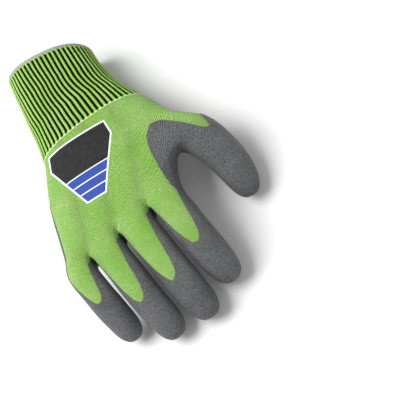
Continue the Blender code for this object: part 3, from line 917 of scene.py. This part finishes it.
def band_form(places, shares, proud):
    """An open band round the cuff, raised by proud(share, place) over the form.

    Its knitting's coordinates run round it by the pitch of the ribs and along it in metres.
    """
    band = bmesh.new()
    away = band.verts.layers.float_vector.new("outwards")
    band.verts.layers.float.new("dip")
    knit = band.loops.layers.uv.new("knit")
    rings = []
    for place in places:
        normal = cuff_plane(place)[1]
        waved = []
        for share in shares:
            turn = 2 * pi * share
            spot = Vector((sin(turn) * WAVER_RADIUS, place, cos(turn) * WAVER_RADIUS))
            fade = eased(0, WAVER_FADE, min(place, CUFF_LENGTH - place))
            waver = noise.noise(spot / WAVER_LENGTH) * RIB_WAVER * fade
            waved.append(share + waver / (RIB_COUNT * RIB_PITCH))
        ring = []
        for share, (point, run) in zip(shares, even_ring(cuff_outline(place), waved)):
            out = normal.cross(run).normalized()
            corner = band.verts.new(point + out * proud(share, place))
            corner[away] = out
            ring.append(corner)
        rings.append(ring)
    count = len(shares)
    for n, (low, high) in enumerate(zip(rings, rings[1:])):
        for k in range(count):
            after = (k + 1) % count
            face = band.faces.new((low[k], low[after], high[after], high[k]))
            start, end = shares[k], shares[after] if after else 1 + shares[0]
            across = (start, end, end, start)
            along = (places[n], places[n], places[n + 1], places[n + 1])
            for loop, share, place in zip(face.loops, across, along):
                loop[knit].uv = (share * RIB_COUNT * RIB_PITCH, place)
    band.normal_update()
    if sum(face.normal.dot(face.verts[0][away]) for face in band.faces) < 0:
        bmesh.ops.reverse_faces(band, faces=band.faces)
        band.normal_update()
    return band


def rib_rise(share, place):
    """How far the knitting stands out at a share of the way round: ridges and valleys."""
    across = share * RIB_COUNT % 1
    profile = RIB_PROFILE + ((1.02, 0),)
    rise = profile[-2][1]  # in the valley before the first place
    for (before, low), (after, high) in zip(profile, profile[1:]):
        if before <= across <= after:
            rise = low + (high - low) * (across - before) / (after - before)
    return rise * RIB_HEIGHT * eased(*RIB_RUN_OUT, CUFF_LENGTH - place)


def even_places(low, high, step):
    """Distances from low to high, spaced as near to the step as divides them evenly."""
    count = max(1, round((high - low) / step))
    return [low + (high - low) * k / count for k in range(count + 1)]


ELASTIC = (0.006, 0.008, 0.006, 1)


def elastic_share(tree):
    """1 on the black elastic between the ribs and 0 on the ribs."""
    across = along_and_across(tree)[0]
    rib_place = maths(tree, "FRACT", maths(tree, "DIVIDE", across, RIB_PITCH))
    off_middle = maths(tree, "ABSOLUTE", maths(tree, "SUBTRACT", rib_place, RIB_MIDDLE))
    frayed = maths(tree, "MULTIPLY_ADD", noisy(tree, 1400), 0.1, RIB_SHARE / 2 - 0.06)
    sharp = maths(tree, "MULTIPLY", maths(tree, "SUBTRACT", off_middle, frayed), 18)
    return add(tree, "ShaderNodeClamp", {0: sharp}).outputs[0]


tree = material_tree("rib knit")
rib_stitches = stitches(tree, RIB_PITCH / 4, STITCH_HEIGHT)
# The lime darkens where the rib's stitches sink. This is painted shade in the stitch hollows, with random
# fibre flecks over it.
rib_hollow_shade = maths(tree, "MULTIPLY", rib_stitches, 0.7)
rib_fleck_and_shade = maths(tree, "MULTIPLY_ADD", noisy(tree, 900, 3), 0.8, rib_hollow_shade)
rib_lime = mixed(tree, rib_fleck_and_shade, LIME_FLECK_AND_SHADE, mixed(tree, patchy_share(tree), LIME, LIME_PALE))
rib_color = mixed(tree, elastic_share(tree), rib_lime, ELASTIC)
rib_material = finish_material(
    "rib knit", rib_color, rib_stitches, 0.25 * MM, 0.85, {"Specular IOR Level": 0.1}
)

rib_shares = [(rib + across) / RIB_COUNT for rib in range(RIB_COUNT) for across, _ in RIB_PROFILE]
rib_rows = even_places(HEM_WIDTH * HEM_LAP, CUFF_LENGTH - JOIN_WIDTH / 2, RING_STEP)
ribs = band_form(rib_rows, rib_shares, rib_rise)
cuff = fabric("cuff_ribs", ribs, -LINER_WALL, 0, rib_material, smooth_as_form=False)
bend_start, bend_end = (cuff_plane(place)[0] + ORIGIN for place in WRIST_BEND)
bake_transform(cuff, "hand", "cuff", start=bend_start, end=bend_end)
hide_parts("wrist_rib", "cuff_rib")

# ---------------------------------------------------------------- join row
# One row of pale loops where the machine changes from rib stitch to plain knit. The elastic
# shows between the loops on the cuff's side as a row of black dashes.

JOIN_PROUD = 0.35 * MM
JOIN_HOLLOW = 0.35  # share of its height that is left between two loops
JOIN_COLUMNS = 6
DASH_REACH = 0.25 * MM


def join_rise(share, place):
    """How far the loops of the join stand out: round across the row, and dipping between loops."""
    wave = abs(sin(pi * share * RIB_COUNT))
    ends = (place - CUFF_LENGTH) / (JOIN_WIDTH / 2)
    height = JOIN_HOLLOW + (1 - JOIN_HOLLOW) * wave
    return height * JOIN_PROUD * max(0, 1 - ends * ends) ** 0.5


tree = material_tree("join thread")
across, along = along_and_across(tree)
join_place = maths(tree, "FRACT", maths(tree, "DIVIDE", across, RIB_PITCH))
off_middle = maths(tree, "ABSOLUTE", maths(tree, "SUBTRACT", join_place, RIB_SHARE / 2))
past_loop = maths(tree, "MULTIPLY", maths(tree, "SUBTRACT", off_middle, 0.24), 20)
dashed = add(tree, "ShaderNodeClamp", {0: past_loop}).outputs[0]
cuff_side = maths(tree, "LESS_THAN", maths(tree, "SUBTRACT", along, CUFF_LENGTH), DASH_REACH)
join_color = mixed(tree, maths(tree, "MULTIPLY", dashed, cuff_side), LIME_PALE, ELASTIC)
join_height = stitches(tree, RIB_PITCH / 2, JOIN_WIDTH)
join_material = finish_material("join thread", join_color, join_height, 0.2 * MM, 0.8, FUZZ)

join_rows = even_places(CUFF_LENGTH - JOIN_WIDTH / 2, CUFF_LENGTH + JOIN_WIDTH / 2, JOIN_WIDTH / 6)
join_shares = [k / (RIB_COUNT * JOIN_COLUMNS) for k in range(RIB_COUNT * JOIN_COLUMNS)]
join_form = band_form(join_rows, join_shares, join_rise)
join_low = -LINER_WALL - 0.1 * MM
join = fabric("join_row", join_form, join_low, 0, join_material, smooth_as_form=False)
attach(join, "hand")
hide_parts("join_course")

# ---------------------------------------------------------------- hem
# The cuff's raw rim is overlocked: pale grey thread is wrapped over it in slanted stitches,
# side by side all the way round.

HEM_STITCHES = 170
HEM_COLUMNS = 5
HEM_ROUND = 16
HEM_THICK = 0.62 * MM
HEM_SLANT = 0.6  # stitches that each one leans over from the inner to the outer side


def hem_form():
    """A tube round the rim whose surface rises in a ridge for each stitch."""
    hem = bmesh.new()
    count = HEM_STITCHES * HEM_COLUMNS
    shares = [k / count for k in range(count)]
    normal = cuff_plane(HEM_WIDTH / 2)[1]
    spine = even_ring(cuff_outline(HEM_WIDTH / 2), shares)
    rings = []
    for share, (point, run) in zip(shares, spine):
        out = normal.cross(run).normalized()
        core = point - out * LINER_WALL / 2
        ring = []
        for k in range(HEM_ROUND):
            turn = 2 * pi * k / HEM_ROUND
            lean = HEM_SLANT * cos(turn)
            ridge = abs(sin(pi * (share * HEM_STITCHES + lean))) ** 0.7
            thick = (LINER_WALL / 2 + HEM_THICK) * (0.8 + 0.2 * ridge) * sin(turn)
            length = HEM_WIDTH / 2 * (0.93 + 0.07 * ridge) * cos(turn)
            ring.append(hem.verts.new(core + out * thick - normal * length))
        rings.append(ring)
    for low, high in zip(rings, rings[1:] + rings[:1]):
        for k in range(HEM_ROUND):
            after = (k + 1) % HEM_ROUND
            hem.faces.new((low[k], high[k], high[after], low[after]))
    for face in hem.faces:
        face.smooth = True
    bmesh.ops.recalc_face_normals(hem, faces=hem.faces)
    return hem


HEM_DEEP = (0.22, 0.25, 0.21, 1)
HEM_PALE = (0.45, 0.49, 0.44, 1)
tree = material_tree("hem thread")
thread_fuzz = noisy(tree, 1800, 3)
hem_color = mixed(tree, thread_fuzz, HEM_DEEP, HEM_PALE)
hem_material = finish_material("hem thread", hem_color, thread_fuzz, 0.12 * MM, 0.9, FUZZ)

hem_mesh = bpy.data.meshes.new("cuff_hem_thread")
wrapped = hem_form()
wrapped.to_mesh(hem_mesh)
wrapped.free()
hem_mesh.transform(Matrix.Translation(ORIGIN))
hem_mesh.materials.append(hem_material)
hem = bpy.data.objects.new("cuff_hem_thread", hem_mesh)
bpy.context.scene.collection.objects.link(hem)
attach(hem, "cuff")
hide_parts("cuff_hem")

# ---------------------------------------------------------------- coating on the ribs
# The glove is dipped a little past the join, so on the palm side the coating runs on over the
# start of the ribs. It fills them a little, and is thinner and darker there.

COATED_CUFF = 0.164 * CUFF_LENGTH
COATED_SPARE = 2 * MM  # of band past the dip line, which the cut takes off
EDGE_LAP = 0.6 * MM
EDGE_STEP = 0.6 * MM
EDGE_HIGH = 0.3 * MM
RIB_FILL = 0.85
CUFF_DEPTH = 0.46 * HAND_DEPTH


def edge_rise(share, place):
    """How far the ribs or the join stand out under the coating."""
    join = join_rise(share, place) if place > CUFF_LENGTH - JOIN_WIDTH / 2 else 0
    return max(rib_rise(share, place) * RIB_FILL, join)


edge_rows = even_places(CUFF_LENGTH - COATED_CUFF - COATED_SPARE, CUFF_LENGTH + EDGE_LAP, EDGE_STEP)
cuff_coat = band_form(edge_rows, rib_shares, edge_rise)
depth_layer = cuff_coat.verts.layers.float["dip"]
for corner in cuff_coat.verts:
    middle, normal = cuff_plane(corner.co.y)
    level = (corner.co.z - middle.z) / CUFF_DEPTH
    side_depth = (SIDE_LEVEL - level) * LEVEL_DEPTH
    along_depth = (corner.co - cuff_plane(CUFF_LENGTH - COATED_CUFF)[0]).dot(normal)
    ragged = noise.noise(corner.co / RAGGED_LENGTH) * RAGGED * 2
    corner[depth_layer] = min(side_depth, along_depth) + ragged
cut_at_line(cuff_coat)
tree = material_tree("grey coating on ribs")
edge_height = stitches(tree, RIB_PITCH / 4, STITCH_HEIGHT)
edge_grey = mixed(tree, noisy(tree, 900), GREY_FLECK_AND_SHADE, GREY)
edge_share = maths(tree, "MULTIPLY", elastic_share(tree), 0.8)
edge_color = mixed(tree, edge_share, edge_grey, ELASTIC)
edge_material = finish_material("grey coating on ribs", edge_color, edge_height, 0.25 * MM, 0.5)
edge = fabric(
    "palm_dip_edge", cuff_coat, COATING_LOW, EDGE_HIGH, edge_material, smooth_as_form=False
)
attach(edge, "hand")

# ---------------------------------------------------------------- label
# A transfer pressed on to the back of the hand: a white film shaped like a shield, with a dark
# field and blue bands printed on it.

LABEL_MIDDLE = (0.168 * HAND_WIDTH, CUFF_LENGTH + 0.386 * PALM_LENGTH)
LABEL_TURN = -12
LABEL_HEIGHT = 0.633 * PALM_LENGTH
LABEL_WIDTH = 0.481 * HAND_WIDTH
LABEL_TOP_WIDTH = 0.92 * LABEL_WIDTH
LABEL_TIP_WIDTH = 0.3 * LABEL_WIDTH
LABEL_SHOULDER = 0.24 * LABEL_HEIGHT
LABEL_BORDER = 1.2 * MM
FILM = 0.16 * MM
PRINT = 0.05 * MM
BAND_COUNT = 3
BAND_HEIGHT = 0.124 * LABEL_HEIGHT
BAND_LINE = 0.9 * MM
WORN = (0.5, 0.5, 0.5, 1)


def label_outline(inset):
    """Points and ways out of the label's edges about its middle, moved in by the inset."""
    top, bottom = -LABEL_HEIGHT / 2, LABEL_HEIGHT / 2
    corners = (
        (-LABEL_TOP_WIDTH / 2, top), (LABEL_TOP_WIDTH / 2, top),
        (LABEL_WIDTH / 2, top + LABEL_SHOULDER), (LABEL_TIP_WIDTH / 2, bottom),
        (-LABEL_TIP_WIDTH / 2, bottom), (-LABEL_WIDTH / 2, top + LABEL_SHOULDER),
    )
    corners = [Vector(corner) for corner in corners]
    edges = []
    for start, end in zip(corners, corners[1:] + corners[:1]):
        run = (end - start).normalized()
        out = Vector((run.y, -run.x))
        edges.append((start - out * inset, out))
    return edges


def label_layer(name, edges, low, high, material):
    """A film that follows the back of the hand inside these edges."""
    back = [face for face in hand_faces() if face.normal.z > 0.5]
    part = part_of_form(back)
    turn = Matrix.Rotation(radians(LABEL_TURN), 2)
    for point, out in edges:
        point = turn @ point + Vector(LABEL_MIDDLE)
        out = turn @ out
        geom = part.verts[:] + part.edges[:] + part.faces[:]
        bmesh.ops.bisect_plane(
            part, geom=geom, dist=1e-7, plane_co=(*point, 0), plane_no=(*out, 0), clear_outer=True
        )
    return fabric(name, part, low, high, material)


def film_material(name, color):
    """A thin plastic film through which the knit shows a little."""
    tree = material_tree(name)
    knit_below = stitches(tree, STITCH_WIDTH, STITCH_HEIGHT)
    weave = maths(tree, "MULTIPLY_ADD", noisy(tree, 700), 0.5, knit_below)
    worn = mixed(tree, maths(tree, "MULTIPLY", noisy(tree, 300), 0.05), color, WORN)
    return finish_material(name, worn, weave, 0.04 * MM, 0.6, {"Specular IOR Level": 0.2})


white_film = film_material("label white", (0.82, 0.83, 0.86, 1))
black_print = film_material("label black", (0.006, 0.006, 0.007, 1))
blue_print = film_material("label blue", (0.02, 0.06, 0.33, 1))
backing = label_layer("label_film", label_outline(0), COATING_LOW, FILM, white_film)
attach(backing, "hand")
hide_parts("label_backing")
inner = label_outline(LABEL_BORDER)
bands_height = BAND_COUNT * BAND_HEIGHT + (BAND_COUNT - 1) * BAND_LINE
first_band = LABEL_HEIGHT / 2 - LABEL_BORDER - bands_height
field_edges = inner + [(Vector((0, first_band - BAND_LINE)), Vector((0, 1)))]
field = label_layer("label_dark_print", field_edges, FILM, FILM + PRINT, black_print)
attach(field, "hand")
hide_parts("label_field")
for n in range(BAND_COUNT):
    low = first_band + n * (BAND_HEIGHT + BAND_LINE)
    edges = inner + [
        (Vector((0, low)), Vector((0, -1))),
        (Vector((0, low + BAND_HEIGHT)), Vector((0, 1))),
    ]
    band = label_layer(f"label_blue_print_{n + 1}", edges, FILM, FILM + PRINT, blue_print)
    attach(band, "hand")
    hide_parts(f"label_band_{n + 1}")

# ---------------------------------------------------------------- stage
# A plain pale floor, a broad soft light from the upper left with a weak one from the right, and
# a camera with a long lens that looks down on the back of the hand.

JOIN_MIDDLE = ORIGIN + Vector((0, CUFF_LENGTH, 20 * MM))
view = Vector((-sin(radians(6)), sin(radians(31)), 0))
view.z = (1 - view.length_squared) ** 0.5
ROLL = radians(-53)
forwards = (Vector((0, 1, 0)) - view * view.y).normalized()
sideways = forwards.cross(view)
right = forwards * cos(ROLL) + sideways * sin(ROLL)
up = view.cross(right)
AIM = (63.4 * MM, -42.7 * MM)  # from the middle of the join, to the right and up
FIELD = 260 * MM
CAMERA_DISTANCE = 2.5
camera_data = bpy.data.cameras.new("camera")
camera_data.lens = camera_data.sensor_width * CAMERA_DISTANCE / FIELD
camera = bpy.data.objects.new("camera", camera_data)
target = JOIN_MIDDLE + right * AIM[0] + up * AIM[1]
turn = Matrix((right, up, view)).transposed().to_4x4()
camera.matrix_world = Matrix.Translation(target + view * CAMERA_DISTANCE) @ turn
bpy.context.scene.collection.objects.link(camera)
bpy.context.scene.camera = camera

FLOOR_SIZE = 6
FLOOR_GAP = 0.2 * MM
floor_mesh = bpy.data.meshes.new("floor")
plane = bmesh.new()
bmesh.ops.create_grid(plane, x_segments=1, y_segments=1, size=FLOOR_SIZE / 2)
bmesh.ops.translate(plane, verts=plane.verts, vec=(0, 0, -FLOOR_GAP))
plane.to_mesh(floor_mesh)
plane.free()
floor = bpy.data.objects.new("floor", floor_mesh)
bpy.context.scene.collection.objects.link(floor)
floor_shader = material_tree("pale floor").nodes["Principled BSDF"]
floor_shader.inputs["Base Color"].default_value = (0.9, 0.9, 0.9, 1)
floor_shader.inputs["Roughness"].default_value = 0.9
floor_mesh.materials.append(bpy.data.materials["pale floor"])


def soft_light(name, place, size, power):
    """A square light that faces the glove."""
    data = bpy.data.lights.new(name, "AREA")
    data.size = size
    data.energy = power
    light = bpy.data.objects.new(name, data)
    light.location = target + place
    light.rotation_euler = place.to_track_quat("Z", "Y").to_euler()
    bpy.context.scene.collection.objects.link(light)


soft_light("key", up * 0.2 - right * 1.4 + view * 0.95, 1.3, 36)
soft_light("fill", right * 0.6 + up * 0.2 + view * 1.6, 1.6, 4)
world = bpy.data.worlds.new("studio")
world.use_nodes = True
background = world.node_tree.nodes["Background"]
background.inputs["Color"].default_value = (1, 1, 1, 1)
background.inputs["Strength"].default_value = 0.38
bpy.context.scene.world = world
bpy.context.scene.view_settings.view_transform = "Standard"
